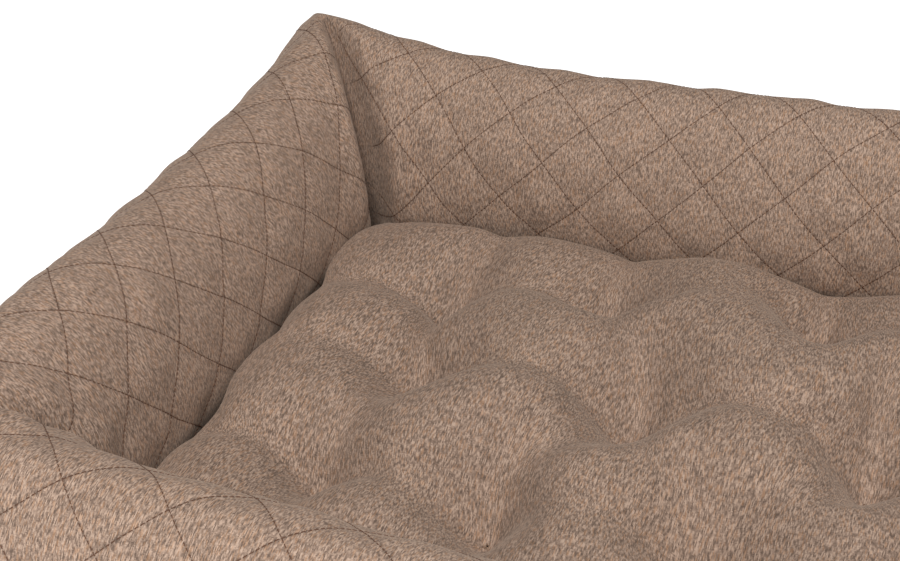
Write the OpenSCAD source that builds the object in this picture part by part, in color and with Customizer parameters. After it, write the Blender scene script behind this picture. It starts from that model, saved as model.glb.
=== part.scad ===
// Rectangular pet bed: four stuffed quilted walls round a well, a padded floor,
// a loose tufted cushion, and a zip in each wall and in the cushion.
// +X runs along the bed's length, +Y to its back wall, +Z up. Millimetres.

/* [Bed] */
// Overall length, along X
bed_length = 900; // [600:10:1300]
// Overall width, along Y
bed_width = 700; // [500:10:1000]
// Height of a wall at the middle of its length
wall_height = 198; // [150:2:260]
// Thickness of a stuffed wall at its fullest
wall_thickness = 135; // [90:1:170]
// Height of a wall's fullest line above the ground
fullest_height = 108; // [80:1:130]
// How far the walls rise into a peak at each corner
corner_rise = 34; // [0:1:40]
// Distance over which that rise fades along a wall
corner_fade = 60; // [30:5:100]
// Thickness of the quilted cover of a wall
quilt_thickness = 4; // [2:0.5:8]
// Thickness of the sewn partition in each mitred corner
partition_thickness = 3; // [2:0.5:6]

/* [Floor] */
// Thickness of the anti-slip base sheet
base_thickness = 1.2; // [0.8:0.1:2.5]
// Thickness of the wadding pad under the well
pad_thickness = 8; // [3:0.5:20]
// Thickness of the lining over that pad
lining_thickness = 1; // [0.5:0.1:2]

/* [Cushion] */
// Thickness of the cushion at its fullest
cushion_thickness = 95; // [60:1:120]
// Clearance between the cushion and the walls
cushion_clearance = 12; // [11:0.5:20]
// Height of the cushion's upright edge
cushion_edge = 34; // [32:1:50]
// Thickness of the cushion's fabric
fabric_thickness = 1.2; // [0.8:0.1:3]
// Gap that keeps resting soft pieces apart
rest_gap = 0.4; // [0.3:0.1:1]
// Diameter of a tuft's tacking stitch
tuft_diameter = 7; // [4:0.5:12]
// Height that a tuft's stitch stands proud
tuft_proud = 1.2; // [0.6:0.2:2]
// Width of the care label
label_width = 26; // [15:1:40]
// Length of the care label
label_length = 40; // [20:1:60]

/* [Zips] */
// Length of the teeth in the long walls' zips
long_zip = 560; // [300:10:600]
// Length of the teeth in the short walls' zips
short_zip = 380; // [200:10:420]
// Distance from a corner of the cushion to the teeth of its zip
cushion_zip_margin = 53; // [30:1:60]
// Height of the zip tapes across both sides
tape_height = 26; // [22:1:30]
// Thickness of a tape
tape_thickness = 0.8; // [0.5:0.1:1]
// Distance from one tooth to the next on the same side
tooth_pitch = 4; // [3:0.5:6]
// Width of the closed teeth
teeth_width = 5; // [4:0.5:6]
// Thickness of the teeth
teeth_thickness = 2.4; // [2:0.1:3]
// Length of a slider
slider_length = 11; // [9:0.5:14]
// Height of a slider across the teeth
slider_height = 9.5; // [8.5:0.5:12]
// Thickness of a slider's front and back plates
slider_plate = 1.2; // [1:0.1:1.4]
// Clearance between a slider and the teeth
slider_clearance = 0.35; // [0.3:0.05:0.5]
// Length of a pull
pull_length = 26; // [18:1:36]
// Width of a pull
pull_width = 6; // [5:0.5:8]
// Thickness of a pull
pull_thickness = 1.2; // [1:0.1:1.6]
// Diameter of the pin that a pull turns on
pin_diameter = 1.6; // [1.2:0.1:2]

/* [Hidden] */
ZIPS = ["back", "front", "left", "right", "cushion"];

// Colours
quilt_colour = "#8a7365";
fabric_colour = "#917a6b";
fill_colour = "#f2efe8";
base_colour = "#3a3431";
lining_colour = "#6f5f55";
zip_colour = "#4a3b32";
metal_colour = "#8d8a86";
label_colour = "#efeae0";

// Plan: half sizes of the well between the walls' fullest lines
well_x = bed_length / 2 - wall_thickness;
well_y = bed_width / 2 - wall_thickness;
// Heights of the floor's layers
pad_z = base_thickness;
lining_z = pad_z + pad_thickness;
cushion_z = lining_z + lining_thickness + rest_gap;
// Roundness of a wall's section above and below its fullest line
top_roundness = 1.8;
bottom_roundness = 3.4;
// Number of steps round a wall's section and along its length
section_steps = 20;
length_steps = 14;
// Cushion: half sizes, roundness of its crown, and steps along and across
cushion_x = well_x - cushion_clearance;
cushion_y = well_y - cushion_clearance;
crown_roundness = 8;
cushion_steps_x = 22;
cushion_steps_y = 16;
cushion_mid_z = cushion_z + cushion_thickness / 2;
// Tufts: [row's Y, places along X], as parts of the cushion's half sizes
tuft_rows = [
    [0.56, [-0.66, -0.31, 0.19, 0.62]],
    [-0.02, [-0.62, -0.12, 0.42]],
    [-0.56, [-0.68, -0.33, 0.17, 0.62]]
];
// Zips in the walls: mid height, and how far the tape's back stands out from the well line,
// where its upper edge meets the wall's cover
wall_zip_z = base_thickness + tape_height / 2;
wall_zip_out = outer_face(base_thickness + tape_height);
// A slider's slot for the teeth, and its whole depth
slot_depth = teeth_thickness + 2 * slider_clearance;
slot_height = teeth_width + 2 * slider_clearance;
slider_depth = slot_depth + 2 * slider_plate;
// How far the cushion's tape stands off its edge, so the slider's back plate fits behind
cushion_zip_off = slider_depth / 2 + tape_thickness / 2 + slider_clearance;
// Length of a stop, and of the tape past each end of the teeth
stop_length = 3;
tape_end = 12;
pin_gap = 0.25;
eye_wall = 1.2;
// Gap between the two rows of teeth, and the slider's wedge that runs in it
row_gap = 1;
wedge_thickness = 0.5;
wedge_length = 4;
base_corner_radius = 28;
// Hairline left between sewn pieces whose faces would otherwise share facets
sewn_gap = 0.1;

function sign_power(v, e) = sign(v) * pow(abs(v), e);
// A point [outwards, up] on a wall's section, shrunk by inset, at angle a
function section_point(a, inset) =
    let (e = 2 / (sin(a) >= 0 ? top_roundness : bottom_roundness),
         rise = (sin(a) >= 0 ? wall_height - fullest_height
                             : fullest_height - base_thickness) - inset)
    [wall_thickness / 2 + (wall_thickness / 2 - inset) * sign_power(cos(a), e),
     fullest_height + rise * sign_power(sin(a), e)];
// How far out a wall's outer face is at a height below its fullest line
function outer_face(z) =
    let (drop = (fullest_height - z) / (fullest_height - base_thickness), n = bottom_roundness)
    wall_thickness / 2 * (1 + pow(1 - pow(drop, n), 1 / n));
// How much a point that high moves up, at a distance from the corner
function peak(z, distance) =
    corner_rise * exp(-distance / corner_fade)
    * max(0, z - fullest_height) / (wall_height - fullest_height);
function section_angle(i) = 360 * i / section_steps;
// Places along a wall from -1 to 1, closer together near its ends
function along(i) =
    let (v = 2 * i / length_steps - 1) sign(v) * (1 - pow(1 - abs(v), 1.7));

// All the points of one skin of a wall along X, whose well line is at -half..half
function wall_points(half, inset) = [
    for (i = [0 : length_steps], j = [0 : section_steps - 1])
        let (p = section_point(section_angle(j), inset), u = along(i),
             reach = half + p[0] - partition_thickness * sqrt(2) / 2)
        [u * reach, p[0], p[1] + peak(p[1], reach * (1 - abs(u)))]
];
function ring_next(j) = (j + 1) % section_steps;
// Two triangles of the strip between rings i and i + 1, from point number first
function wall_quad(first, i, j) =
    let (a = first + i * section_steps + j, b = first + i * section_steps + ring_next(j))
    [[a, a + section_steps, b], [b, a + section_steps, b + section_steps]];
function flipped(faces) = [for (f = faces) [f[2], f[1], f[0]]];
function skin(first) = [
    for (i = [0 : length_steps - 1], j = [0 : section_steps - 1], f = wall_quad(first, i, j)) f
];

// Solid stuffing of a wall
module wall_solid(half) {
    points = wall_points(half, quilt_thickness);
    last = length_steps * section_steps;
    polyhedron(points = points, faces = concat(
        skin(0),
        [[for (j = [0 : section_steps - 1]) j]],
        [[for (j = [section_steps - 1 : -1 : 0]) last + j]]
    ));
}

// Quilted tube of a wall, open at both mitred ends
module wall_tube(half) {
    outer = wall_points(half, 0);
    inner = wall_points(half, quilt_thickness);
    count = len(outer);
    last = length_steps * section_steps;
    start_rim = [for (j = [0 : section_steps - 1]) let (k = ring_next(j))
        each [[j, k, count + j], [k, count + k, count + j]]];
    end_rim = [for (j = [0 : section_steps - 1]) let (k = ring_next(j))
        each [[last + k, last + j, count + last + j],
              [last + k, count + last + j, count + last + k]]];
    polyhedron(points = concat(outer, inner),
               faces = concat(skin(0), flipped(skin(count)), start_rim, end_rim));
}

// Puts something made for the back wall on the named side
module on_side(side) {
    if (side == "back") translate([0, well_y, 0]) children();
    if (side == "front") rotate(180) translate([0, well_y, 0]) children();
    if (side == "left") rotate(90) translate([0, well_x, 0]) children();
    if (side == "right") rotate(-90) translate([0, well_x, 0]) children();
}
function wall_half(side) = side == "back" || side == "front" ? well_x : well_y;

module wall_cover(side) {
    color(quilt_colour) on_side(side) wall_tube(wall_half(side));
}
module wall_fill(side) {
    color(fill_colour) on_side(side) wall_solid(wall_half(side));
}

// Upright fabric sewn into a mitred corner, between the ends of two walls
module partition(x_side, y_side) {
    outline = [for (j = [0 : section_steps - 1])
        let (p = section_point(section_angle(j), quilt_thickness / 2))
        [p[0] * sqrt(2), p[1] + peak(p[1], 0)]];
    turn = atan2(y_side, x_side);
    color(lining_colour)
        translate([x_side * well_x, y_side * well_y, 0]) rotate(turn)
            translate([0, (partition_thickness - sewn_gap) / 2, 0]) rotate([90, 0, 0])
                linear_extrude(partition_thickness - sewn_gap) polygon(outline);
}

module rounded_sheet(x, y, radius, thickness) {
    linear_extrude(thickness) hull()
        for (sx = [-1, 1], sy = [-1, 1])
            translate([sx * (x - radius), sy * (y - radius)]) circle(radius, $fn = 48);
}
module base_sheet() {
    out = wall_zip_out + tape_thickness;
    color(base_colour)
        rounded_sheet(well_x + out, well_y + out, base_corner_radius, base_thickness);
}
module base_pad() {
    color(fill_colour) translate([0, 0, pad_z])
        rounded_sheet(well_x, well_y, base_corner_radius, pad_thickness);
}
module floor_lining() {
    color(lining_colour) translate([0, 0, lining_z])
        rounded_sheet(well_x, well_y, base_corner_radius, lining_thickness);
}

// Height of the cushion's skin above its middle, at u and v from -1 to 1
function crown(u, v, inset) =
    cushion_edge / 2 - inset + (cushion_thickness - cushion_edge) / 2
    * sqrt(1 - pow(abs(u), crown_roundness)) * sqrt(1 - pow(abs(v), crown_roundness));
// Steps from -1 to 1, closer together near the edges
function eased(i, steps) = sin(180 * i / steps - 90);
// Corners in plan pull in a little from a true rectangle
function plan_point(u, v, inset) =
    [u * (cushion_x - inset) * (1 - 0.03 * pow(v, 6)),
     v * (cushion_y - inset) * (1 - 0.03 * pow(u, 6))];
function crown_points(inset) = [
    for (i = [0 : cushion_steps_x], j = [0 : cushion_steps_y])
        let (u = eased(i, cushion_steps_x), v = eased(j, cushion_steps_y),
             p = plan_point(u, v, inset))
        [p[0], p[1], crown(u, v, inset)]
];
function flat(points) = [for (p = points) [p[0], p[1], 0]];
function grid_faces(first) = [
    for (i = [0 : cushion_steps_x - 1], j = [0 : cushion_steps_y - 1])
        let (a = first + i * (cushion_steps_y + 1) + j, b = a + cushion_steps_y + 1)
        each [[a, a + 1, b], [b, a + 1, b + 1]]
];
// Numbers of the points round the edge of a grid, in order
rim = concat(
    [for (j = [0 : cushion_steps_y - 1]) j],
    [for (i = [0 : cushion_steps_x - 1]) i * (cushion_steps_y + 1) + cushion_steps_y],
    [for (j = [cushion_steps_y : -1 : 1]) cushion_steps_x * (cushion_steps_y + 1) + j],
    [for (i = [cushion_steps_x : -1 : 1]) i * (cushion_steps_y + 1)]
);
// Strip of faces that joins two rims
function rim_strip(a, b) = [
    for (k = [0 : len(rim) - 1]) let (p = rim[k], q = rim[(k + 1) % len(rim)])
        each [[a + p, b + p, a + q], [a + q, b + p, b + q]]
];

// Upper half of the cushion's casing: crown and edge, open below
module panel() {
    outer = crown_points(0);
    inner = crown_points(fabric_thickness);
    count = len(outer);
    points = concat(outer, inner, [for (k = rim) [outer[k][0], outer[k][1], 0]],
                    [for (k = rim) [inner[k][0], inner[k][1], 0]]);
    steps = len(rim);
    low_outer = 2 * count;
    low_inner = low_outer + steps;
    function strip(high, low) = [for (k = [0 : steps - 1]) let (m = (k + 1) % steps)
        each [[high + rim[k], low + k, high + rim[m]], [high + rim[m], low + k, low + m]]];
    polyhedron(points = points, faces = concat(
        grid_faces(0), flipped(grid_faces(count)),
        strip(0, low_outer), flipped(strip(count, low_inner)),
        [for (k = [0 : steps - 1]) let (m = (k + 1) % steps)
            each [[low_inner + k, low_outer + m, low_outer + k],
                  [low_inner + k, low_inner + m, low_outer + m]]]
    ));
}
module cushion_top_panel() {
    color(fabric_colour) translate([0, 0, cushion_mid_z]) panel();
}
module cushion_bottom_panel() {
    color(fabric_colour) translate([0, 0, cushion_mid_z]) mirror([0, 0, 1]) panel();
}
module cushion_fill() {
    top = crown_points(fabric_thickness);
    bottom = [for (p = top) [p[0], p[1], -p[2]]];
    count = len(top);
    color(fill_colour) translate([0, 0, cushion_mid_z])
        polyhedron(points = concat(top, bottom), faces = concat(
            grid_faces(0), flipped(grid_faces(count)), rim_strip(0, count)));
}

// Tacking stitches that hold the top and bottom of the cushion together
module cushion_tufts() {
    places = [for (row = tuft_rows, x = row[1]) [x * cushion_x, row[0] * cushion_y]];
    color(zip_colour) for (p = places) translate([p[0], p[1], 0]) {
        translate([0, 0, cushion_mid_z + sewn_gap
                   + crown(p[0] / cushion_x, p[1] / cushion_y, 0)])
            cylinder(h = tuft_proud, d = tuft_diameter, $fn = 24);
    }
}

// Folded label sewn into the cushion's front edge
module care_label() {
    color(label_colour)
        translate([cushion_x / 2, -cushion_y - fabric_thickness,
                   cushion_mid_z - label_length / 2])
            cube([label_width, fabric_thickness / 2, label_length / 2]);
}

// ---- Zips, lying along X with their face towards +Y and their middle at the origin ----
module zip_tape(length) {
    gap = teeth_width;
    half = (tape_height - gap) / 2;
    for (side = [-1, 1])
        translate([-length / 2 - tape_end, -tape_thickness, side > 0 ? gap / 2 : -gap / 2 - half])
            cube([length + 2 * tape_end, tape_thickness, half]);
}
// One row of teeth, as an outline: a bead along the tape's edge with teeth on it
function comb(length) =
    let (count = floor(length / tooth_pitch), root = teeth_width / 4, tip = row_gap / 2)
    concat([[-length / 2, teeth_width / 2], [-length / 2, root]],
        [for (i = [0 : count - 1]) let (x = -length / 2 + (i + 0.25) * tooth_pitch)
            each [[x, root], [x, tip], [x + tooth_pitch / 2, tip],
                  [x + tooth_pitch / 2, root]]],
        [[length / 2, root], [length / 2, teeth_width / 2]]);
module zip_teeth(length) {
    middle = -tape_thickness / 2 + teeth_thickness / 2;
    for (side = [0, 1]) mirror([0, 0, side])
        translate([0, middle, 0]) rotate([90, 0, 0])
            linear_extrude(teeth_thickness) polygon(comb(length));
}
module zip_stops(length) {
    middle = -tape_thickness / 2 - teeth_thickness / 2;
    for (end = [-length / 2 - stop_length - 1, length / 2 + 3])
        translate([end, middle, -teeth_width / 2])
            cube([stop_length, teeth_thickness, teeth_width]);
}
// Place of a parked slider's middle, at the -X end of the teeth
function parked(length) = -length / 2 + slider_length / 2 + 1;
// Front and back plates, joined by a wedge that runs between the two rows of teeth
module zip_slider(length) {
    middle = -tape_thickness / 2;
    translate([parked(length), middle, 0]) {
        difference() {
            translate([-slider_length / 2, -slider_depth / 2, -slider_height / 2])
                cube([slider_length, slider_depth, slider_height]);
            translate([-slider_length, -slot_depth / 2, -slot_height / 2])
                cube([2 * slider_length, slot_depth, slot_height]);
            translate([-slider_length, -tape_thickness / 2 - slider_clearance,
                       -slider_height])
                cube([2 * slider_length, tape_thickness + 2 * slider_clearance,
                      2 * slider_height]);
        }
        translate([slider_length / 2 - wedge_length, -slider_depth / 2, -wedge_thickness / 2])
            cube([wedge_length, slider_depth, wedge_thickness]);
        // Lugs that carry the pull's pin
        for (z = [-1, 1])
            translate([-eye_wall, slider_depth / 2, z * (pull_width / 2 + pin_gap)
                       - (z < 0 ? eye_wall : 0)])
                cube([2 * eye_wall, pull_pin_out() + pin_diameter / 2, eye_wall]);
        translate([0, slider_depth / 2 + pull_pin_out(), -pull_width / 2 - pin_gap - eye_wall / 2])
            cylinder(h = pull_width + 2 * pin_gap + eye_wall, d = pin_diameter, $fn = 24);
    }
}
// Distance from a slider's front plate to the middle of the pull's pin
function pull_pin_out() = pin_diameter / 2 + eye_wall / 2 + pin_gap + 0.3;
module zip_pull(length) {
    eye = pin_diameter / 2 + pin_gap;
    translate([parked(length), -tape_thickness / 2 + slider_depth / 2 + pull_pin_out(), 0])
        difference() {
            union() {
                translate([0, 0, -pull_width / 2])
                    cylinder(h = pull_width, r = eye + eye_wall / 2, $fn = 32);
                translate([0, -pull_thickness / 2, -pull_width / 2])
                    cube([pull_length, pull_thickness, pull_width]);
            }
            translate([0, 0, -pull_width])
                cylinder(h = 2 * pull_width, r = eye, $fn = 32);
            translate([pull_length * 0.62, pull_thickness, 0]) rotate([90, 0, 0])
                cylinder(h = 2 * pull_thickness, d = pull_width * 0.45, $fn = 24);
        }
}

function zip_length(place) =
    place == "cushion" ? 2 * (cushion_y - cushion_zip_margin)
    : place == "back" || place == "front" ? long_zip : short_zip;
module place_zip(place) {
    if (place == "cushion")
        rotate(-90) translate([0, cushion_x + cushion_zip_off, cushion_mid_z]) children();
    else
        on_side(place) translate([0, wall_zip_out + tape_thickness, wall_zip_z]) children();
}
module tape(place) {
    color(zip_colour) place_zip(place) {
        zip_tape(zip_length(place));
        // Turned edges that join the cushion's tape to its panels
        if (place == "cushion")
            for (z = [-tape_height / 2, tape_height / 2 - tape_thickness])
                translate([-zip_length(place) / 2 - tape_end, -cushion_zip_off, z])
                    cube([zip_length(place) + 2 * tape_end,
                          cushion_zip_off - tape_thickness / 2, tape_thickness]);
    }
}
module teeth(place) { color(zip_colour) place_zip(place) zip_teeth(zip_length(place)); }
module stops(place) { color(metal_colour) place_zip(place) zip_stops(zip_length(place)); }
module slider(place) { color(metal_colour) place_zip(place) zip_slider(zip_length(place)); }
module pull(place) { color(metal_colour) place_zip(place) zip_pull(zip_length(place)); }

base_sheet();
base_pad();
floor_lining();
wall_cover("back");  // wall_back_cover
wall_cover("front");  // wall_front_cover
wall_cover("left");  // wall_left_cover
wall_cover("right");  // wall_right_cover
wall_fill("back");  // wall_back_fill
wall_fill("front");  // wall_front_fill
wall_fill("left");  // wall_left_fill
wall_fill("right");  // wall_right_fill
partition(-1, 1);  // partition_back_left
partition(1, 1);  // partition_back_right
partition(-1, -1);  // partition_front_left
partition(1, -1);  // partition_front_right
cushion_top_panel();
cushion_bottom_panel();
cushion_fill();
cushion_tufts();
care_label();
tape("back");  // zip_back_tape
teeth("back");  // zip_back_teeth
stops("back");  // zip_back_stops
slider("back");  // zip_back_slider
pull("back");  // zip_back_pull
tape("front");  // zip_front_tape
teeth("front");  // zip_front_teeth
stops("front");  // zip_front_stops
slider("front");  // zip_front_slider
pull("front");  // zip_front_pull
tape("left");  // zip_left_tape
teeth("left");  // zip_left_teeth
stops("left");  // zip_left_stops
slider("left");  // zip_left_slider
pull("left");  // zip_left_pull
tape("right");  // zip_right_tape
teeth("right");  // zip_right_teeth
stops("right");  // zip_right_stops
slider("right");  // zip_right_slider
pull("right");  // zip_right_pull
tape("cushion");  // zip_cushion_tape
teeth("cushion");  // zip_cushion_teeth
stops("cushion");  // zip_cushion_stops
slider("cushion");  // zip_cushion_slider
pull("cushion");  // zip_cushion_pull
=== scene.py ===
"""Pet bed: four stuffed, diamond-quilted walls round a well that holds a loose tufted cushion."""
import math

import bpy
import numpy as np
from mathutils import Matrix, Vector


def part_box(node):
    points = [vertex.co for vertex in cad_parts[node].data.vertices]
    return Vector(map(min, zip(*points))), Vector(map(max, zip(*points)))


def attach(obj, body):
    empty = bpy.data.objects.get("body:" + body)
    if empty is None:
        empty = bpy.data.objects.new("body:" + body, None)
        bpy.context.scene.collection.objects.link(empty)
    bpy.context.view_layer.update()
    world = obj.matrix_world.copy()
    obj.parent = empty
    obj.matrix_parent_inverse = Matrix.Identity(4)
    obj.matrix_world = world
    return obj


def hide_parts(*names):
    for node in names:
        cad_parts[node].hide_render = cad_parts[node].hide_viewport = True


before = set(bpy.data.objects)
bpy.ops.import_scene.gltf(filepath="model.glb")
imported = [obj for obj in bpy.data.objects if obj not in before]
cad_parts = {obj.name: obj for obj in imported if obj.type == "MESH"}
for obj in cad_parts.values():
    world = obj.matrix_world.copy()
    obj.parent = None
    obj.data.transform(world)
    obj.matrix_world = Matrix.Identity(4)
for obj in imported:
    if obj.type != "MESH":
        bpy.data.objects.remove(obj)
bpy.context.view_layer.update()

MM = 0.001
COLLECTION = bpy.context.scene.collection

# ---- Sizes taken from the frame ----
WELL_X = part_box("wall_right_cover")[0][0]
WELL_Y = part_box("wall_back_cover")[0][1]
WALL_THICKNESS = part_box("wall_back_cover")[1][1] - WELL_Y
BASE_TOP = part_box("base_sheet")[1][2]
LINING_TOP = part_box("floor_lining")[1][2]
TAPE_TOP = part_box("zip_back_tape")[1][2]
TAPE_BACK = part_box("zip_back_tape")[0][1] - WELL_Y
LONG_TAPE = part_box("zip_back_tape")[1][0]
SHORT_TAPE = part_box("zip_left_tape")[1][1]

# ---- The walls' shape ----
WALL_HEIGHT = 202 * MM
FULLEST = 108 * MM
TOP_ROUNDNESS = 1.8
INNER_BOTTOM_ROUNDNESS = 1.7
OUTER_BOTTOM_ROUNDNESS = 3.4
CORNER_RISE = 34 * MM
CORNER_FADE = 88 * MM
# how far from a mitre seam its pull is felt
END_FADE = 12 * MM
# the walls' ends are drawn into the mitre seams, deepest on the inside
PINCH_INNER = 22 * MM
PINCH_TOP = 4 * MM
PINCH_WIDTH = 8 * MM
# and just short of the seam, the inside bulges
KNUCKLE = 4 * MM
KNUCKLE_PLACE = 24 * MM
KNUCKLE_WIDTH = 17 * MM
# stuffing's unevenness, the cloth's small puckers, and creases that run out from the seams
LUMP_DEPTH = 2.6 * MM
PUCKER_DEPTH = 0.7 * MM
CREASE_DEPTH = 1.8 * MM
CREASE_REACH = 45 * MM
SWELL_WIDTH = 105 * MM
# the lowest part of the cover lies flat, and the stuffing's shape sets in above it
HEM_HEIGHT = 8 * MM
HEM_FADE = 25 * MM
# room behind a zip's tape
ZIP_RECESS = 3.2 * MM

# ---- Quilting: a square lattice of stitched lines, its diamonds' diagonal one pitch ----
QUILT_PITCH = 65 * MM
QUILT_ORIGIN_HEIGHT = 88 * MM
# how far a hand-guided line strays
LINE_DRIFT = 2.2 * MM
PUFF_HEIGHT = 2.3 * MM
PUFF_SHOULDER = 12 * MM
STITCH_PITCH = 3.6 * MM
STITCH_LENGTH = 3.0 * MM
STITCH_THICKNESS = 0.7 * MM
# the stitches lie this far off the cloth, and end this far from a mitre seam
STITCH_LIFT = 0.12 * MM
STITCH_MARGIN = 5 * MM


# ---- Small helpers ----
def srgb(code):
    """A hex colour such as #8a7365 as linear RGBA."""
    channels = [int(code[i:i + 2], 16) / 255 for i in (1, 3, 5)]
    return tuple(c / 12.92 if c < 0.04045 else ((c + 0.055) / 1.055) ** 2.4 for c in channels) + (1,)


def mesh_piece(name, points, faces, **uv_maps):
    """A smooth-shaded object from points and faces, with UV maps that have a row for each point."""
    mesh = bpy.data.meshes.new(name)
    mesh.from_pydata([tuple(p) for p in points], [], [tuple(f) for f in faces])
    index = np.empty(len(mesh.loops), dtype=np.int64)
    mesh.loops.foreach_get("vertex_index", index)
    for uv_name, uv in uv_maps.items():
        layer = mesh.uv_layers.new(name=uv_name)
        layer.data.foreach_set("uv", np.asarray(uv)[index].astype(np.float32).ravel())
    mesh.shade_smooth()
    piece = bpy.data.objects.new(name, mesh)
    COLLECTION.objects.link(piece)
    return piece


class Noise:
    """Smooth value noise on the plane, about -1 to 1, the same on every run."""

    def __init__(self, seed):
        self.table = np.random.RandomState(seed).uniform(-1, 1, (256, 256))

    def __call__(self, x, y):
        x, y = np.broadcast_arrays(x, y)
        i, j = np.floor(x).astype(int), np.floor(y).astype(int)
        fx, fy = x - i, y - j
        fx, fy = fx * fx * (3 - 2 * fx), fy * fy * (3 - 2 * fy)
        t = self.table
        a = t[i % 256, j % 256] * (1 - fx) + t[(i + 1) % 256, j % 256] * fx
        b = t[i % 256, (j + 1) % 256] * (1 - fx) + t[(i + 1) % 256, (j + 1) % 256] * fx
        return a * (1 - fy) + b * fy


# ---- Materials ----
def new_material(name):
    """A material with nodes, its tree and its shader."""
    material = bpy.data.materials.new(name)
    material.use_nodes = True
    tree = material.node_tree
    return material, tree, tree.nodes["Principled BSDF"]


def add(tree, kind, inputs=None, **settings):
    """Adds a node; inputs maps a socket's name or number to a value or to another node's socket."""
    node = tree.nodes.new(kind)
    for key, value in settings.items():
        setattr(node, key, value)
    for key, value in (inputs or {}).items():
        if isinstance(value, bpy.types.NodeSocket):
            tree.links.new(value, node.inputs[key])
        else:
            node.inputs[key].default_value = value
    return node


def yarns(tree, across, lengthwise, width, length):
    """Tone of parallel yarns: each yarn has its own run of darker and lighter stretches."""
    place = add(tree, "ShaderNodeMath", {0: across, 1: width}, operation="DIVIDE")
    number = add(tree, "ShaderNodeMath", {0: place.outputs[0]}, operation="FLOOR")
    own = add(tree, "ShaderNodeTexWhiteNoise", {"W": number.outputs[0]}, noise_dimensions="1D")
    shift = add(tree, "ShaderNodeMath", {0: own.outputs["Value"], 1: 500.0}, operation="MULTIPLY")
    along = add(tree, "ShaderNodeMath", {0: lengthwise, 1: 1 / length, 2: shift.outputs[0]},
                operation="MULTIPLY_ADD")
    where = add(tree, "ShaderNodeCombineXYZ", {0: shift.outputs[0], 1: along.outputs[0]})
    return add(tree, "ShaderNodeTexNoise", {"Vector": where.outputs[0], "Scale": 1.0,
               "Detail": 0.0}, noise_dimensions="2D").outputs["Fac"]


def melange_cloth(name, quilted, tone):
    """Woven melange polyester: slub yarns from dark umber to pale sand, a fine heathered grain.

    Such yarns are 0.4 mm wide, too fine to show, so they are drawn 0.6 mm wide.
    """
    material, tree, shader = new_material(name)
    uv = add(tree, "ShaderNodeUVMap", uv_map="cloth").outputs["UV"]
    axes = add(tree, "ShaderNodeSeparateXYZ", {0: uv})
    u, v = axes.outputs[0], axes.outputs[1]
    # warp yarns keep one tone for a few millimetres, and the weft breaks them up
    warp = yarns(tree, u, v, 0.6 * MM, 3.2 * MM)
    weft = yarns(tree, v, u, 0.6 * MM, 1.6 * MM)
    mixed = add(tree, "ShaderNodeMix", {0: 0.3, 2: warp, 3: weft}).outputs[0]
    tones = add(tree, "ShaderNodeValToRGB", {"Fac": mixed})
    ramp = tones.color_ramp
    ramp.elements[0].position, ramp.elements[0].color = 0.28, srgb("#655449")
    ramp.elements[1].position, ramp.elements[1].color = 0.72, srgb("#b39a88")
    ramp.elements.new(0.5).color = srgb("#8c7667")
    # a warm rust yarn shows here and there
    rust = yarns(tree, u, v, 0.63 * MM, 5 * MM)
    warm = add(tree, "ShaderNodeMapRange", {"Value": rust, "From Min": 0.6, "From Max": 0.72,
               "To Min": 0.0, "To Max": 0.3})
    colour = add(tree, "ShaderNodeMix", {0: warm.outputs[0], 6: tones.outputs["Color"],
                 7: srgb("#b5865f")}, data_type="RGBA").outputs[2]
    # slow drift of tone over the cloth, scaled by tone; on the cushion's cloth that scale is painted
    # shade
    slow = add(tree, "ShaderNodeTexNoise", {"Vector": uv, "Scale": 60.0, "Detail": 3.0},
               noise_dimensions="2D")
    drift = add(tree, "ShaderNodeMapRange", {"Value": slow.outputs["Fac"], "From Min": 0.3,
                "From Max": 0.7, "To Min": 0.95 * tone, "To Max": 1.05 * tone})
    colour = add(tree, "ShaderNodeMix", {0: 1.0, 6: colour, 7: drift.outputs[0]},
                 data_type="RGBA", blend_type="MULTIPLY").outputs[2]
    height = add(tree, "ShaderNodeMath", {0: warp, 1: weft}, operation="ADD").outputs[0]
    if quilted:
        # the needle's line draws the cloth into a sharp groove in the bump, and painted shade darkens the
        # cloth's colour along it
        lines = add(tree, "ShaderNodeUVMap", uv_map="quilting").outputs["UV"]
        lines = add(tree, "ShaderNodeSeparateXYZ", {0: lines})
        near = [add(tree, "ShaderNodeMath", {0: lines.outputs[axis], 1: 0.5},
                operation="PINGPONG").outputs[0] for axis in (0, 1)]
        nearest = add(tree, "ShaderNodeMath", {0: near[0], 1: near[1]}, operation="MINIMUM")
        groove = add(tree, "ShaderNodeMapRange", {"Value": nearest.outputs[0], "From Max": 0.025,
                     "To Min": 1.0, "To Max": 0.0}).outputs[0]
        # painted shade in the groove: the colour is multiplied down to 0.78 along the quilting lines
        shade = add(tree, "ShaderNodeMapRange", {"Value": groove, "To Min": 1.0, "To Max": 0.78})
        colour = add(tree, "ShaderNodeMix", {0: 1.0, 6: colour, 7: shade.outputs[0]},
                     data_type="RGBA", blend_type="MULTIPLY").outputs[2]
        height = add(tree, "ShaderNodeMath", {0: groove, 1: -1.4, 2: height},
                     operation="MULTIPLY_ADD").outputs[0]
    tree.links.new(colour, shader.inputs["Base Color"])
    bump = add(tree, "ShaderNodeBump", {"Height": height, "Strength": 0.2, "Distance": 0.5 * MM})
    tree.links.new(bump.outputs["Normal"], shader.inputs["Normal"])
    shader.inputs["Roughness"].default_value = 0.92
    shader.inputs["Specular IOR Level"].default_value = 0.2
    shader.inputs["Sheen Weight"].default_value = 0.22
    shader.inputs["Sheen Roughness"].default_value = 0.5
    shader.inputs["Sheen Tint"].default_value = srgb("#d9c4b2")
    return material


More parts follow.
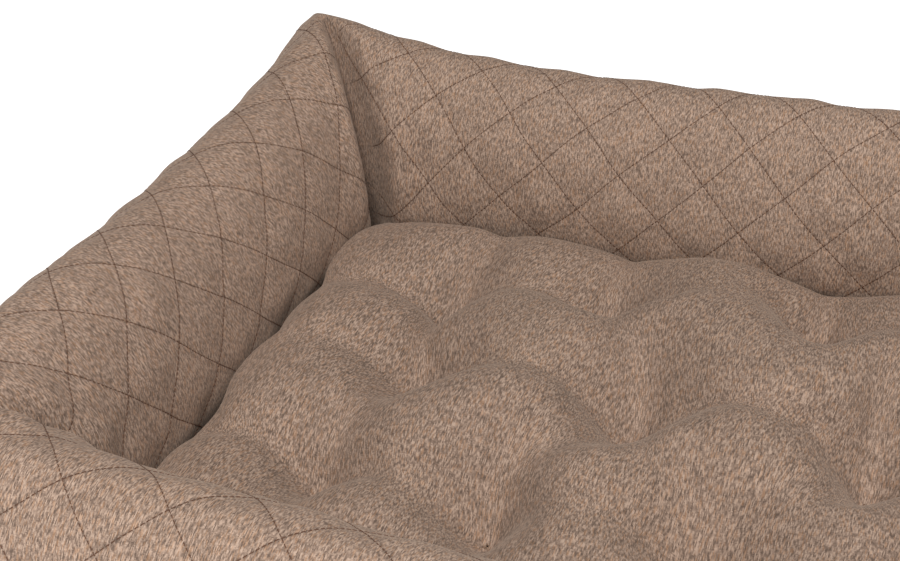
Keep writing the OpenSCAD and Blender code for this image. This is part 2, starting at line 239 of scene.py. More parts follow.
def plain_thread(name, code):
    """Spun polyester thread: dull, with a short twist that shades it along its length."""
    material, tree, shader = new_material(name)
    where = add(tree, "ShaderNodeTexCoord").outputs["Object"]
    twist = add(tree, "ShaderNodeTexNoise", {"Vector": where, "Scale": 1500.0})
    shade = add(tree, "ShaderNodeMix", {0: twist.outputs["Fac"], 6: srgb(code),
                7: tuple(min(1, 1.9 * c) for c in srgb(code)[:3]) + (1,)}, data_type="RGBA")
    tree.links.new(shade.outputs[2], shader.inputs["Base Color"])
    shader.inputs["Roughness"].default_value = 0.75
    return material


def tight_weave(name, code, thread, rough):
    """Plain tight weave of spun or filament thread: a grid of fine rounded ridges."""
    material, tree, shader = new_material(name)
    where = add(tree, "ShaderNodeTexCoord").outputs["Object"]
    waves = [add(tree, "ShaderNodeTexWave", {"Vector": where, "Scale": 0.314 / thread,
             "Distortion": 0.6, "Detail": 1.0, "Detail Scale": 2.0}, bands_direction=axis,
             wave_profile="SIN").outputs["Fac"] for axis in "XYZ"]
    plane = add(tree, "ShaderNodeMath", {0: waves[0], 1: waves[1]}, operation="ADD")
    height = add(tree, "ShaderNodeMath", {0: plane.outputs[0], 1: waves[2]}, operation="ADD")
    cloud = add(tree, "ShaderNodeTexNoise", {"Vector": where, "Scale": 45.0, "Detail": 3.0})
    drift = add(tree, "ShaderNodeMapRange", {"Value": cloud.outputs["Fac"], "From Min": 0.3,
                "From Max": 0.7, "To Min": 0.88, "To Max": 1.1})
    # painted shade and highlight: the colour is darkened in the hollows between the threads and lightened
    # on their crowns
    painted_weave_shading = add(tree, "ShaderNodeMapRange", {"Value": height.outputs[0], "From Min": 0.6,
                "From Max": 2.4, "To Min": 0.72, "To Max": 1.12})
    shade = add(tree, "ShaderNodeMath", {0: drift.outputs[0], 1: painted_weave_shading.outputs[0]},
                operation="MULTIPLY")
    colour = add(tree, "ShaderNodeMix", {0: 1.0, 6: srgb(code), 7: shade.outputs[0]},
                 data_type="RGBA", blend_type="MULTIPLY")
    tree.links.new(colour.outputs[2], shader.inputs["Base Color"])
    bump = add(tree, "ShaderNodeBump", {"Height": height.outputs[0], "Strength": 0.5,
               "Distance": thread / 3})
    tree.links.new(bump.outputs["Normal"], shader.inputs["Normal"])
    shader.inputs["Roughness"].default_value = rough
    shader.inputs["Specular IOR Level"].default_value = 0.3
    return material


def clouded(name, code, stretch, low, high):
    """A moulded or plated surface: its colour faintly uneven, drawn out along X by stretch."""
    material, tree, shader = new_material(name)
    where = add(tree, "ShaderNodeTexCoord").outputs["Object"]
    mapping = add(tree, "ShaderNodeMapping", {"Vector": where, "Scale": (400 / stretch, 400, 400)})
    cloud = add(tree, "ShaderNodeTexNoise", {"Vector": mapping.outputs[0], "Scale": 1.0,
                "Detail": 3.0})
    shade = add(tree, "ShaderNodeMapRange", {"Value": cloud.outputs["Fac"], "From Min": 0.3,
                "From Max": 0.7, "To Min": 0.82, "To Max": 1.12})
    colour = add(tree, "ShaderNodeMix", {0: 1.0, 6: srgb(code), 7: shade.outputs[0]},
                 data_type="RGBA", blend_type="MULTIPLY")
    tree.links.new(colour.outputs[2], shader.inputs["Base Color"])
    rough = add(tree, "ShaderNodeMapRange", {"Value": cloud.outputs["Fac"], "From Min": 0.3,
                "From Max": 0.7, "To Min": low, "To Max": high})
    tree.links.new(rough.outputs[0], shader.inputs["Roughness"])
    return material


QUILT_CLOTH = melange_cloth("melange_weave_quilted", quilted=True, tone=0.98)
# the cushion's cloth is the walls' cloth darkened to 0.85: painted shade for the cushion lying deep in
# the well
CUSHION_CLOTH = melange_cloth("melange_weave_plain", quilted=False, tone=0.85)
QUILT_THREAD = plain_thread("polyester_quilting_thread", "#4a2f1f")
LINING_CLOTH = tight_weave("polyester_lining_cloth", "#4c3f38", 0.5 * MM, 0.85)
BASE_CLOTH = tight_weave("coated_base_cloth", "#3d3633", 0.9 * MM, 0.7)
GRIP_DOT = clouded("soft_pvc_grip_dot", "#2c2826", 1, 0.5, 0.6)
ZIP_TAPE = tight_weave("polyester_zip_tape", "#5a493e", 0.7 * MM, 0.8)
ZIP_TEETH = clouded("moulded_nylon_zip_teeth", "#4a3b32", 1, 0.38, 0.46)
ZIP_METAL = clouded("nickel_plated_zinc", "#a6a39c", 6, 0.28, 0.45)
ZIP_METAL.node_tree.nodes["Principled BSDF"].inputs["Metallic"].default_value = 1.0
WADDING = tight_weave("polyester_wadding_pad", "#d9d4ca", 1.5 * MM, 0.95)
LABEL_CLOTH = tight_weave("polyester_satin_label", "#cdc6b8", 0.4 * MM, 0.5)
TACK_THREAD = plain_thread("bonded_tacking_thread", "#665141")


# ---- Camera, light and floor ----
CAMERA_PLACE = (0.1765, -0.7857, 0.7276)
CAMERA_TURN = 23.08
CAMERA_DIP = 32.63
CAMERA_ROLL = -3.09
LENS = 60.2
SKY_STRENGTH = 0.13
SOFTBOX_PLACE = (0.45, -1.25, 2.2)
SOFTBOX_SIZE = 1.3
SOFTBOX_POWER = 80
FLOOR_SIZE = 60
FLOOR_GLOW = 0.6


def camera_and_light():
    """The camera over the front wall, one large softbox above it, and a pale floor."""
    scene = bpy.context.scene
    scene.view_settings.view_transform = "Standard"
    camera = bpy.data.cameras.new("camera")
    camera.sensor_width = 36
    camera.lens = LENS
    seat = bpy.data.objects.new("camera", camera)
    COLLECTION.objects.link(seat)
    turn = (Matrix.Rotation(math.radians(CAMERA_TURN), 4, "Z")
            @ Matrix.Rotation(math.radians(90 - CAMERA_DIP), 4, "X")
            @ Matrix.Rotation(math.radians(CAMERA_ROLL), 4, "Z"))
    seat.matrix_world = Matrix.Translation(CAMERA_PLACE) @ turn
    scene.camera = seat

    world = bpy.data.worlds.new("studio")
    world.use_nodes = True
    world.node_tree.nodes["Background"].inputs["Color"].default_value = (1, 1, 1, 1)
    world.node_tree.nodes["Background"].inputs["Strength"].default_value = SKY_STRENGTH
    scene.world = world

    light = bpy.data.lights.new("softbox", "AREA")
    light.size = SOFTBOX_SIZE
    light.energy = SOFTBOX_POWER
    softbox = bpy.data.objects.new("softbox", light)
    softbox.location = SOFTBOX_PLACE
    softbox.rotation_euler = (-Vector(SOFTBOX_PLACE)).to_track_quat("-Z", "Y").to_euler()
    COLLECTION.objects.link(softbox)

    # a hair under the bed, so that it doesn't share a plane with the grip dots' faces
    bpy.ops.object.select_all(action="DESELECT")
    bpy.ops.mesh.primitive_plane_add(size=FLOOR_SIZE, location=(0, 0, -0.2 * MM))
    floor = bpy.context.object
    floor.name = "floor"
    material, _, shader = new_material("white_sweep")
    shader.inputs["Base Color"].default_value = (0.96, 0.96, 0.96, 1)
    shader.inputs["Roughness"].default_value = 0.9
    shader.inputs["Emission Color"].default_value = (1, 1, 1, 1)
    shader.inputs["Emission Strength"].default_value = FLOOR_GLOW
    floor.data.materials.append(material)


camera_and_light()


# ---- Walls ----
def sign_power(value, exponent):
    """A power of the value's size that keeps its sign."""
    return np.sign(value) * np.abs(value) ** exponent


def section_table():
    """The walls' section by distance g along it, 0 at the first row of quilting on the inside."""
    turn = np.radians(np.linspace(-90, -450, 6001))
    high = np.sin(turn) >= 0
    lower = np.where(np.cos(turn) < 0, INNER_BOTTOM_ROUNDNESS, OUTER_BOTTOM_ROUNDNESS)
    exponent = 2 / np.where(high, TOP_ROUNDNESS, lower)
    rise = np.where(high, WALL_HEIGHT - FULLEST, FULLEST - BASE_TOP)
    s = WALL_THICKNESS / 2 * (1 + sign_power(np.cos(turn), exponent))
    z = FULLEST + rise * sign_power(np.sin(turn), exponent)
    g = np.concatenate([[0], np.cumsum(np.hypot(np.diff(s), np.diff(z)))])
    inner = (s < WALL_THICKNESS / 2) & (turn > math.radians(-270))
    start = np.interp(QUILT_ORIGIN_HEIGHT, z[inner], g[inner])
    tangent_s, tangent_z = np.gradient(s, g), np.gradient(z, g)
    return g - start, s, z, -tangent_z, tangent_s


SECTION = section_table()
GIRTH_START, GIRTH_END = SECTION[0][0], SECTION[0][-1]
LUMPS, PUCKERS, DRIFT, CREASES = Noise(11), Noise(12), Noise(13), Noise(14)


class Side:
    """One wall: its half length at the well, its turn from the back wall, its own quilting lines.

    sharp_peak is the share of the corners' rise that fades at once, and swell is the place and
    height of a fuller stretch.
    """

    def __init__(self, name, half, out, quarter_turns, lattice_start, girth_shift, tape_half, seed,
                 sharp_peak, swell):
        self.name, self.half, self.out = name, half, out
        self.quarter_turns = quarter_turns
        self.lattice_start, self.girth_shift = lattice_start, girth_shift
        self.tape_half, self.seed = tape_half, seed
        self.sharp_peak, self.swell = sharp_peak, swell

    def place(self, along, out, up):
        """Points of the wall's own axes in the row frame."""
        x, y = along, self.out + out
        for _ in range(self.quarter_turns):
            x, y = -y, x
        return np.stack([x, y, up], axis=-1)

    def lattice(self, along, g):
        """Places across the two families of quilting lines, in lines."""
        drift_x = LINE_DRIFT * DRIFT(along / 0.055 + self.seed, g / 0.055)
        drift_g = LINE_DRIFT * DRIFT(along / 0.055, g / 0.055 + self.seed + 40)
        a = (along + drift_x - self.lattice_start) / QUILT_PITCH
        b = (g + drift_g - self.girth_shift) / QUILT_PITCH
        return a + b + 0.5, a - b + 0.5

    def surface(self, along, g, lift=0.0):
        """The cover's surface at places along the wall and round its girth."""
        s, z = np.interp(g, SECTION[0], SECTION[1]), np.interp(g, SECTION[0], SECTION[2])
        normal_s = np.interp(g, SECTION[0], SECTION[3])
        normal_z = np.interp(g, SECTION[0], SECTION[4])
        from_end = np.maximum(self.half + s - np.abs(along), 0)
        open_part = 1 - np.exp(-(from_end / END_FADE) ** 2)
        high = np.clip((z - FULLEST) / (WALL_HEIGHT - FULLEST), 0, 1)
        low = np.clip((z - HEM_HEIGHT) / HEM_FADE, 0, 1)
        inner = np.clip(-normal_s + 0.15, 0, 1)
        rise = (self.sharp_peak * np.exp(-from_end / END_FADE)
                + (1 - self.sharp_peak) * np.exp(-from_end / CORNER_FADE)) * CORNER_RISE
        swell = self.swell[1] * np.exp(-((along - self.swell[0]) / SWELL_WIDTH) ** 2)
        z = z + (rise + swell) * high

        a, b = self.lattice(along, g)
        spacing = QUILT_PITCH / math.sqrt(2)
        gap_a = np.abs(a - np.round(a)) * spacing
        gap_b = np.abs(b - np.round(b)) * spacing
        puff_a, puff_b = (1 - np.exp(-(gap / PUFF_SHOULDER) ** 1.4) for gap in (gap_a, gap_b))
        puff = puff_a * puff_b
        seed = self.seed
        move = PUFF_HEIGHT * puff * low
        move += LUMP_DEPTH * LUMPS(along / 0.085 + seed, g / 0.07 + seed) * low
        move += PUCKER_DEPTH * PUCKERS(along / 0.016 + seed, g / 0.019) * low
        move += (CREASE_DEPTH * CREASES(along / 0.075 + seed, g / 0.014)
                 * np.exp(-from_end / CREASE_REACH) * low)
        move += KNUCKLE * np.exp(-((from_end - KNUCKLE_PLACE) / KNUCKLE_WIDTH) ** 2) * low * inner
        pinch = (PINCH_TOP + (PINCH_INNER - PINCH_TOP) * inner ** 0.7) * low
        move = move * open_part - pinch * np.exp(-(from_end / PINCH_WIDTH) ** 1.2) + lift
        new_s = s + normal_s * move
        new_z = np.maximum(z + normal_z * move, BASE_TOP)
        # low down outside, the cover hangs straight to the base sheet, and back behind a zip
        outside = (s > WALL_THICKNESS / 2) & (z < TAPE_TOP)
        behind_zip = 1 / (1 + np.exp((np.abs(along) - self.tape_half) / (0.7 * MM)))
        straight = TAPE_BACK - 0.2 * MM - ZIP_RECESS * behind_zip * (z < TAPE_TOP - 2 * MM)
        rounded = np.minimum(new_s, straight)
        new_s = np.where(outside, np.where(z > BASE_TOP + 0.5 * MM, straight, rounded), new_s)
        # the ends stay in the mitre plane, where the neighbouring wall meets them
        along = along + np.sign(along) * (new_s - s) * np.exp(-from_end / END_FADE)
        return self.place(along, new_s, new_z)


SIDES = [
    Side("back", WELL_X, WELL_Y, 0, -WELL_X + 16 * MM, 33 * MM, LONG_TAPE, 3, 0.0, (0, 0)),
    Side("left", WELL_Y, WELL_X, 1, WELL_Y + 55 * MM, 59 * MM, SHORT_TAPE, 17, 0.1, (-130 * MM, 12 * MM)),
    Side("front", WELL_X, WELL_Y, 2, -WELL_X + 30 * MM, 20 * MM, LONG_TAPE, 29, 0.1, (0, 0)),
    Side("right", WELL_Y, WELL_X, 3, WELL_Y + 20 * MM, 44 * MM, SHORT_TAPE, 41, 0.25, (60 * MM, 4 * MM)),
]


# each corner's partition, hidden where two walls' ends meet
CORNERS = [("partition_back_left", "back"), ("partition_back_right", "back"),
           ("partition_front_left", "front"), ("partition_front_right", "front")]


def eased_steps(count):
    """Places from -1 to 1, closer together near the ends."""
    even = np.linspace(-1, 1, count)
    return np.sign(even) * (1 - (1 - np.abs(even)) ** 1.25)


def quilted_wall(side):
    """The stuffed wall as one closed cover with its puffs, puckers and mitred ends."""
    step = 3 * MM
    rows = int((GIRTH_END - GIRTH_START) / step)
    columns = int(2 * (side.half + WALL_THICKNESS) / step) | 1
    g = np.linspace(GIRTH_START, GIRTH_END, rows, endpoint=False)
    s = np.interp(g, SECTION[0], SECTION[1])
    t = eased_steps(columns)
    reach = side.half + s - 0.4 * MM
    along = t[:, None] * reach[None, :]
    girth = np.broadcast_to(g, along.shape)
    points = side.surface(along, girth)
    # the cloth's own lengthwise place follows the surface, so that its yarns keep their size
    run = np.cumsum(np.linalg.norm(np.diff(points, axis=0, prepend=points[:1]), axis=2), axis=0)
    cloth = np.stack([run - run[columns // 2], girth], axis=-1).reshape(-1, 2)
    points = points.reshape(-1, 3)
    lattice = np.stack(side.lattice(along, girth), axis=-1).reshape(-1, 2)
    index = np.arange(columns * rows).reshape(columns, rows)
    after = np.roll(index, -1, axis=1)
    faces = np.stack([index[:-1], index[1:], after[1:], after[:-1]], axis=-1).reshape(-1, 4).tolist()
    faces += [index[0].tolist(), index[-1][::-1].tolist()]
    wall = mesh_piece(f"wall_{side.name}_quilted", points, faces, cloth=cloth, quilting=lattice)
    wall.data.materials.append(QUILT_CLOTH)
    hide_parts(f"wall_{side.name}_cover", f"wall_{side.name}_fill")
    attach(wall, "bed")
    return wall


def stitch_mesh():
    """One stitch along X: a short thread that dives into the cloth at both ends."""
    rings = [(-0.5, 0.15, -0.7), (-0.32, 0.8, 0.1), (0.32, 0.8, 0.1), (0.5, 0.15, -0.7)]
    points = []
    for x, wide, up in rings:
        for k in range(4):
            turn = math.radians(45 + 90 * k)
            points.append((x * STITCH_LENGTH, wide * STITCH_THICKNESS / 2 * math.cos(turn) * 1.4,
                           up * STITCH_THICKNESS / 2 + wide * STITCH_THICKNESS / 2 * math.sin(turn)))
    faces = [(4 * i + k, 4 * i + (k + 1) % 4, 4 * i + 4 + (k + 1) % 4, 4 * i + 4 + k)
             for i in range(3) for k in range(4)]
    return np.array(points), faces + [(3, 2, 1, 0), (12, 13, 14, 15)]


def line_marks(side, family, line):
    """Each stitch on one quilting line: its place, a place just ahead and one above it."""
    g = np.arange(30 * MM - QUILT_ORIGIN_HEIGHT, GIRTH_END - 90 * MM, 0.5 * MM)
    along = side.lattice_start - family * (g - side.girth_shift) + (line - 0.5) * QUILT_PITCH
    # the straight line moved onto the drifting one, closer at each step
    for _ in range(3):
        value = side.lattice(along, g)[0 if family == 1 else 1]
        along = along - (value - line) * QUILT_PITCH
    s = np.interp(g, SECTION[0], SECTION[1])
    inside = np.abs(along) < side.half + s - STITCH_MARGIN
    if inside.sum() < 12:
        return None
    g, along = g[inside], along[inside]
    points = side.surface(along, g)
    run = np.concatenate([[0], np.cumsum(np.linalg.norm(np.diff(points, axis=0), axis=1))])
    at = np.arange(STITCH_PITCH, run[-1] - STITCH_PITCH, STITCH_PITCH)
    ahead = at + 0.5 * MM
    g_at, along_at = np.interp(at, run, g), np.interp(at, run, along)
    g_ahead, along_ahead = np.interp(ahead, run, g), np.interp(ahead, run, along)
    return np.stack([side.surface(along_at, g_at, STITCH_LIFT),
                     side.surface(along_ahead, g_ahead, STITCH_LIFT),
                     side.surface(along_at, g_at, STITCH_LIFT + 1 * MM)], axis=1)


def quilting_thread(side):
    """The rows of stitches along every quilting line of one wall."""
    ends = side.half + WALL_THICKNESS
    count = int((2 * ends + GIRTH_END - GIRTH_START) / QUILT_PITCH) + 4
    lines = [line_marks(side, family, line) for family in (1, -1) for line in range(-count, count)]
    marks = np.concatenate([line for line in lines if line is not None])
    forward = marks[:, 1] - marks[:, 0]
    forward /= np.linalg.norm(forward, axis=1)[:, None]
    up = marks[:, 2] - marks[:, 0]
    up -= forward * (up * forward).sum(1)[:, None]
    up /= np.linalg.norm(up, axis=1)[:, None]
    aside = np.cross(up, forward)
    shape, faces = stitch_mesh()
    points = (marks[:, None, 0] + shape[None, :, :1] * forward[:, None]
              + shape[None, :, 1:2] * aside[:, None] + shape[None, :, 2:] * up[:, None])
    first = np.arange(len(marks))[:, None, None] * len(shape)
    all_faces = (np.array(faces)[None] + first).reshape(-1, 4)
    thread = mesh_piece(f"quilting_thread_{side.name}", points.reshape(-1, 3), all_faces)
    thread.data.materials.append(QUILT_THREAD)
    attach(thread, "bed")


for wall_side in SIDES:
    quilted_wall(wall_side)
    quilting_thread(wall_side)
for name, first in CORNERS:
    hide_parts(name)


# ---- Cushion ----
CUSHION_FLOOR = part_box("cushion_bottom_panel")[0][2]
CUSHION_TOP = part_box("cushion_top_panel")[1][2]
CUSHION_SEAM = (CUSHION_FLOOR + CUSHION_TOP) / 2
CUSHION_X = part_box("cushion_top_panel")[1][0]
CUSHION_GAP = 2.5 * MM
# the panels turn over at the edge on a rounded shoulder
EDGE_X, EDGE_Y = WELL_X - 2 * MM, WELL_Y - 2 * MM
SHOULDER_IN, SHOULDER_UP, SHOULDER_DOWN = 30 * MM, 30 * MM, 44 * MM
SHOULDER_CLOTH = 48 * MM
# places of the tufts in millimetres, and how high the cloth is held there
TUFTS = [(-202, 100), (-84, 128), (68, 150), (190, 118),
         (-190, 10), (-34, 4), (128, -4), (240, 22),
         (-212, -106), (-92, -118), (45, -116), (188, -108)]
TUFT_TOP = 52 * MM
TUFT_BOTTOM = 28 * MM
TUFT_HELD = 5 * MM
TUFT_FUNNEL = 20 * MM
MOUND_FULLNESS = 1.05
# this far above the tufts, the cloth settles the most
SETTLE_HEIGHT = 16 * MM
# the hollow round the cushion's zip, and how softly it ends past the tape
POCKET_CLEARANCE = 0.4 * MM
POCKET_END = 6 * MM
POCKET_LIP = 5 * MM
# height of the brim where the stuffing gathers along each wall
BRIM = {"left": 106 * MM, "right": 92 * MM, "back": 82 * MM, "front": 92 * MM}
BRIM_WIDTH = 48 * MM
BRIM_START = 15 * MM
BRIM_SHARE = 0.6


def cushion_cloth():
    """Both panels as one closed mesh of square cells, sewn together round the edge."""
    cell = 5 * MM
    extra = SHOULDER_CLOTH - SHOULDER_IN
    half_u, half_v = EDGE_X + extra, EDGE_Y + extra
    nu, nv = int(2 * half_u / cell), int(2 * half_v / cell)
    u, v = np.meshgrid(np.linspace(-half_u, half_u, nu + 1), np.linspace(-half_v, half_v, nv + 1),
                       indexing="ij")

    def over_shoulder(place, half, edge):
        """Place across the bed and share of the height, from the distance to the cloth's edge."""
        away = half - np.abs(place)
        turn = np.clip(away / SHOULDER_CLOTH, 0, 1) * math.pi / 2
        rounded = edge - SHOULDER_IN * (1 - np.cos(turn) ** 0.8)
        flat = edge - SHOULDER_IN - (away - SHOULDER_CLOTH)
        return np.sign(place) * np.where(away < SHOULDER_CLOTH, rounded, flat), np.sin(turn) ** 0.8

    x, share_x = over_shoulder(u, half_u, EDGE_X)
    y, share_y = over_shoulder(v, half_v, EDGE_Y)
    # rounded corners in plan
    x = x * (1 - 0.018 * (np.abs(v) / half_v) ** 8)
    y = y * (1 - 0.026 * (np.abs(u) / half_u) ** 8)
    share = share_x * share_y
    top = np.stack([x, y, CUSHION_SEAM + SHOULDER_UP * share], axis=-1).reshape(-1, 3)
    bottom = np.stack([x, y, CUSHION_SEAM - SHOULDER_DOWN * share], axis=-1).reshape(-1, 3)
    edge = np.minimum(half_u - np.abs(u), half_v - np.abs(v)) < 1e-6
    rim = edge.ravel()
    index = np.arange(len(rim))
    low = index.copy()
    low[~rim] = len(rim) + np.arange((~rim).sum())
    points = np.concatenate([top, bottom[~rim]])
    flat = np.stack([u, v], -1).reshape(-1, 2)
    cloth = np.concatenate([flat, flat[~rim] + (1, 0)])

    def cells(i):
        i = i.reshape(nu + 1, nv + 1)
        return np.stack([i[:-1, :-1], i[1:, :-1], i[1:, 1:], i[:-1, 1:]], -1).reshape(-1, 4)

    return points, np.concatenate([cells(index), cells(low)[:, ::-1]]), cloth, edge


def inflate(piece, unpulled, held, frames, spare, pressure):
    """Blows the piece up as cloth cut from its unpulled shape, with some spare length."""
    piece.shape_key_add(name="Basis")
    cut = piece.shape_key_add(name="cut")
    cut.data.foreach_set("co", unpulled.astype(np.float32).ravel())
    cut.value = 0
    group = piece.vertex_groups.new(name="held")
    group.add([int(i) for i in held], 1.0, "REPLACE")
    cloth = piece.modifiers.new("cloth", "CLOTH")
    settings = cloth.settings
    settings.quality = 5
    settings.mass = 0.2
    settings.air_damping = 4
    settings.tension_stiffness = settings.compression_stiffness = 22
    settings.shear_stiffness = 8
    settings.bending_stiffness = 0.7
    settings.tension_damping = settings.compression_damping = settings.shear_damping = 8
    settings.bending_damping = 1.0
    settings.vertex_group_mass = "held"
    settings.pin_stiffness = 1
    settings.rest_shape_key = cut
    settings.shrink_min = -spare
    settings.use_pressure = True
    settings.uniform_pressure_force = pressure
    settings.effector_weights.gravity = 0
    cloth.collision_settings.use_collision = False
    cloth.point_cache.frame_end = frames
    scene = bpy.context.scene
    for frame_number in range(1, frames + 1):
        scene.frame_set(frame_number)
    shaped = piece.evaluated_get(bpy.context.evaluated_depsgraph_get()).to_mesh()
    points = np.empty(3 * len(shaped.vertices), dtype=np.float32)
    shaped.vertices.foreach_get("co", points)
    piece.modifiers.remove(cloth)
    piece.vertex_groups.clear()
    piece.shape_key_clear()
    scene.frame_set(1)
    return points.reshape(-1, 3).astype(float)


def inner_face(z):
    """How far out from the well line a wall's inner face is at a height."""
    inner = SECTION[0] < 60 * MM
    return np.interp(z, SECTION[2][inner], SECTION[1][inner])


def kept_in_well(points):
    """The cushion's points pressed in by the walls, the floor and its own zip's pocket."""
    z = np.maximum(points[:, 2], CUSHION_FLOOR)
    wall = inner_face(z) - CUSHION_GAP
    x = np.clip(points[:, 0], -WELL_X - wall, WELL_X + wall)
    y = np.clip(points[:, 1], -WELL_Y - wall, WELL_Y + wall)
    zip_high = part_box("zip_cushion_tape")[1]
    beside = np.maximum(np.abs(y) - zip_high[1], 0) / POCKET_END
    above = np.maximum(np.abs(z - CUSHION_SEAM) - (zip_high[2] - CUSHION_SEAM), 0) / POCKET_LIP
    pocket = np.exp(-beside ** 2 - above ** 2)
    x = np.where(x > 0, x - np.maximum(x - CUSHION_X + POCKET_CLEARANCE, 0) * pocket, x)
    return np.stack([x, y, z], axis=-1)


def settled(panel, rounds):
    """The panel's grid of points, its fuller stretches eased towards their neighbours."""
    for _ in range(rounds):
        inside = panel[1:-1, 1:-1]
        around = (panel[:-2, 1:-1] + panel[2:, 1:-1] + panel[1:-1, :-2] + panel[1:-1, 2:]) / 4
        ease = np.clip((inside[..., 2:] - TUFT_TOP) / SETTLE_HEIGHT, 0.08, 0.6)
        panel[1:-1, 1:-1] = inside + ease * (around - inside)
    return panel


def applied(piece, modifier):
    """Makes a modifier's result the piece's own mesh."""
    bpy.ops.object.select_all(action="DESELECT")
    bpy.context.view_layer.objects.active = piece
    piece.select_set(True)
    bpy.ops.object.modifier_apply(modifier=modifier.name)


def cushion():
    """The stuffed cushion, blown up from its flat panels, settled and fitted to the well."""
    points, faces, cloth, edge = cushion_cloth()
    piece = mesh_piece("cushion_tufted", points, faces, cloth=cloth)
    held = list(np.nonzero(edge.ravel())[0])
    top_side = np.arange(len(points)) < edge.size
    unpulled = points.copy()
    for x, y in TUFTS:
        away = np.hypot(points[:, 0] - x * MM, points[:, 1] - y * MM)
        pull = np.exp(-np.maximum(away - TUFT_HELD, 0) / TUFT_FUNNEL)
        held_at = np.where(top_side, TUFT_TOP, TUFT_BOTTOM)
        points[:, 2] += pull * (held_at - points[:, 2])
        held += list(np.nonzero(away < TUFT_HELD)[0])
    piece.data.vertices.foreach_set("co", points.astype(np.float32).ravel())
    points = inflate(piece, unpulled, held, frames=36, spare=0.26, pressure=16)
    mound = top_side & (points[:, 2] > TUFT_TOP)
    points[mound, 2] = TUFT_TOP + (points[mound, 2] - TUFT_TOP) * MOUND_FULLNESS
    # lying on it has pressed the small folds out of the mounds
    panel = points[:edge.size].reshape(*edge.shape, 3)
    points[:edge.size] = settled(panel, 14).reshape(-1, 3)
    # the stuffing gathers in a brim along the walls
    half_u, half_v = cloth[:edge.size].max(axis=0)
    u, v = cloth[:, 0], cloth[:, 1]
    from_seam = {"left": half_u + u, "right": half_u - u, "back": half_v - v, "front": half_v + v}
    for wall, height in BRIM.items():
        away = from_seam[wall]
        near = (1 - np.exp(-(away / BRIM_START) ** 2)) * np.exp(-(away / BRIM_WIDTH) ** 2)
        points[:, 2] += np.where(top_side, BRIM_SHARE * near * (height - points[:, 2]), 0)
    points = kept_in_well(points)
    piece.data.vertices.foreach_set("co", points.astype(np.float32).ravel())
    piece.data.update()
    finer = piece.modifiers.new("finer", "SUBSURF")
    finer.levels = finer.render_levels = 1
    applied(piece, finer)
    piece.data.materials.append(CUSHION_CLOTH)
    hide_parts("cushion_top_panel", "cushion_bottom_panel", "cushion_fill")
    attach(piece, "cushion")
    return piece


def tacking(cushion_piece):
    """Two crossed stitches of thick thread at the bottom of each tuft."""
    shape, faces = stitch_mesh()
    shape = shape * 2.4
    points, all_faces = [], []
    for x, y in TUFTS:
        _, bottom, _, _ = cushion_piece.ray_cast((x * MM, y * MM, 1), (0, 0, -1))
        for turn in (25, 115):
            c, s = math.cos(math.radians(turn)), math.sin(math.radians(turn))
            spun = np.stack([shape[:, 0] * c - shape[:, 1] * s, shape[:, 0] * s + shape[:, 1] * c,
                             shape[:, 2]], axis=-1)
            all_faces += [[i + len(points) for i in f] for f in faces]
            points += (spun + (bottom.x, bottom.y, bottom.z + 0.3 * MM)).tolist()
    thread = mesh_piece("cushion_tacking_thread", points, all_faces)
    thread.data.materials.append(TACK_THREAD)
    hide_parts("cushion_tufts")
    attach(thread, "cushion")


def care_label(cushion_piece):
    """Blank folded label that hangs from the seam in the cushion's front edge."""
    low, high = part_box("care_label")
    columns, rows = 9, 19
    points = []
    for place in np.linspace(low[0], high[0], columns):
        for down in np.linspace(0, 2, rows):
            # the front ply hangs down, the back ply comes up behind it
            up = high[2] - (high[2] - low[2]) * (1 - abs(1 - down))
            hit, where, _, _ = cushion_piece.ray_cast((place, -1, up), (0, 1, 0))
            fold = 0.5 * MM * (1 + math.cos(math.pi * min(max(down - 0.85, 0) / 0.3, 1))) / 2
            sway = 0.25 * MM * math.sin(place / (4 * MM))
            points.append((place, (where.y if hit else low[1]) - 0.5 * MM - fold + sway, up))
    index = np.arange(columns * rows).reshape(columns, rows)
    faces = np.stack([index[:-1, :-1], index[1:, :-1], index[1:, 1:], index[:-1, 1:]], -1)
    faces = faces.reshape(-1, 4)
    label = mesh_piece("care_label_folded", points, faces)
    label.data.materials.append(LABEL_CLOTH)
    ribbon = label.modifiers.new("ribbon", "SOLIDIFY")
    ribbon.thickness = 0.2 * MM
    ribbon.offset = 0
    applied(label, ribbon)
    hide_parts("care_label")
    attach(label, "cushion")


cushion_piece = cushion()
tacking(cushion_piece)
care_label(cushion_piece)


# ---- Floor of the bed ----
DOT_PITCH = 14 * MM
DOT_RADIUS = 2.6 * MM
DOT_HEIGHT = 0.4 * MM
DOT_SIDES = 8
DOT_MARGIN = 20 * MM


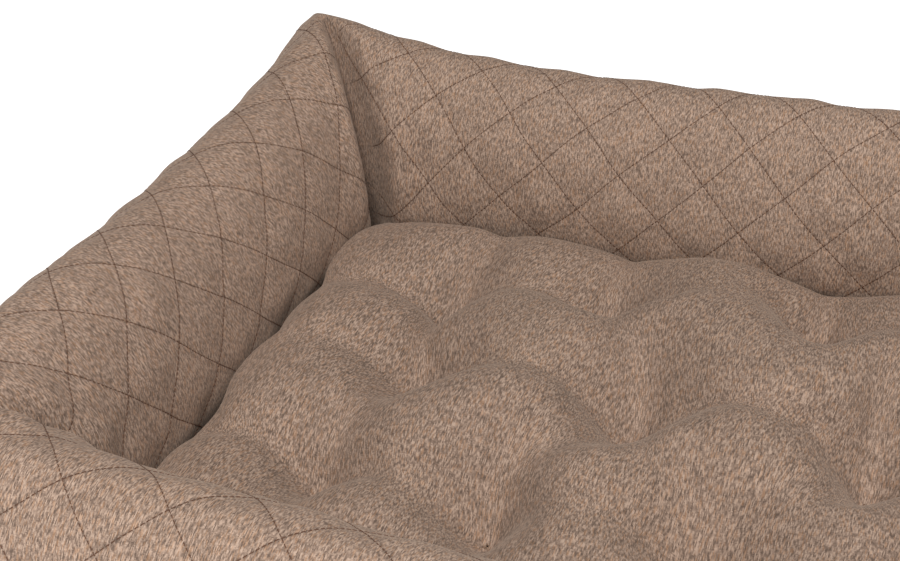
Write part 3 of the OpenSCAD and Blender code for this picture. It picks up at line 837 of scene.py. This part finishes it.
def slab(name, half_x, half_y, radius, low, high, ripple=0.0):
    """A rounded sheet from low to high, with a ripple in its upper face."""
    count_x, count_y = 61, 49
    x, y = np.meshgrid(np.linspace(-1, 1, count_x), np.linspace(-1, 1, count_y), indexing="ij")
    # the square's corners drawn in to arcs of the radius
    px, py = x * half_x, y * half_y
    over_x = np.maximum(np.abs(px) - (half_x - radius), 0)
    over_y = np.maximum(np.abs(py) - (half_y - radius), 0)
    reach = np.maximum(over_x, over_y)
    length = np.maximum(np.hypot(over_x, over_y), 1e-9)
    px = px - np.sign(px) * over_x * (1 - reach / length)
    py = py - np.sign(py) * over_y * (1 - reach / length)
    wave = ripple * DRIFT(px / 0.05, py / 0.05)
    points = np.concatenate([np.stack([px, py, high + wave], -1).reshape(-1, 3),
                             np.stack([px, py, np.full_like(px, low)], -1).reshape(-1, 3)])
    index = np.arange(count_x * count_y).reshape(count_x, count_y)
    lower = index + count_x * count_y

    def cells(i):
        return np.stack([i[:-1, :-1], i[1:, :-1], i[1:, 1:], i[:-1, 1:]], -1).reshape(-1, 4)

    rim = np.concatenate([index[:-1, 0], index[-1, :-1], index[:0:-1, -1], index[0, :0:-1]])
    after = np.roll(rim, -1)
    shift = count_x * count_y
    sides = np.stack([rim, rim + shift, after + shift, after], -1)
    faces = np.concatenate([cells(index), cells(lower)[:, ::-1], sides])
    return mesh_piece(name, points, faces)


def bed_floor():
    """The coated base sheet, the wadding pad on it and the lining on top."""
    base_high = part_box("base_sheet")[1]
    pad_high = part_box("base_pad")[1]
    # the floor's layers run a little way under the walls
    under = inner_face(LINING_TOP) + 4 * MM
    corner = 28 * MM

    base = slab("base_sheet_coated", base_high[0], base_high[1], corner, DOT_HEIGHT, BASE_TOP)
    base.data.materials.append(BASE_CLOTH)
    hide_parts("base_sheet")
    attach(base, "bed")

    pad = slab("floor_pad_wadding", WELL_X + under, WELL_Y + under, corner, BASE_TOP, pad_high[2],
               ripple=0.3 * MM)
    pad.data.materials.append(WADDING)
    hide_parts("base_pad")
    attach(pad, "bed")

    lining = slab("floor_lining_cloth", WELL_X + under, WELL_Y + under, corner, pad_high[2],
                  LINING_TOP, ripple=0.3 * MM)
    lining.data.materials.append(LINING_CLOTH)
    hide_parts("floor_lining")
    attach(lining, "bed")


def grip_dots():
    """Soft dots printed under the base sheet, in staggered rows."""
    sides, row_step = DOT_SIDES, DOT_PITCH * 0.866
    far_x, far_y = (half - DOT_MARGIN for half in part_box("base_sheet")[1][:2])
    places = []
    for row in range(int(2 * far_y / row_step)):
        x = np.arange(-far_x + (row % 2) * DOT_PITCH / 2, far_x, DOT_PITCH)
        places += [(px, -far_y + row * row_step) for px in x]
    turn = np.arange(sides) * 2 * math.pi / sides
    ring = np.stack([np.cos(turn), np.sin(turn), np.zeros(sides)], -1) * DOT_RADIUS
    # the dot's root is a little inside the sheet
    shape = np.concatenate([ring + (0, 0, DOT_HEIGHT + 0.1 * MM), ring * 0.75, [[0, 0, 0]]])
    faces = [(k, (k + 1) % sides, sides + (k + 1) % sides, sides + k) for k in range(sides)]
    faces += [(sides + k, sides + (k + 1) % sides, 2 * sides) for k in range(sides)]
    faces.append(tuple(range(sides)))
    points = [shape + (px, py, 0) for px, py in places]
    all_faces = [[n * len(shape) + i for i in face] for n in range(len(places)) for face in faces]
    dots = mesh_piece("base_grip_dots", np.concatenate(points), all_faces)
    dots.data.materials.append(GRIP_DOT)
    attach(dots, "bed")


bed_floor()
grip_dots()


# ---- Finish of the zips' own parts ----
for place in ("back", "front", "left", "right", "cushion"):
    for part, material in (("tape", ZIP_TAPE), ("teeth", ZIP_TEETH), ("stops", ZIP_METAL),
                           ("slider", ZIP_METAL), ("pull", ZIP_METAL)):
        node = bpy.data.objects[f"zip_{place}_{part}"]
        node.data.materials.clear()
        node.data.materials.append(material)
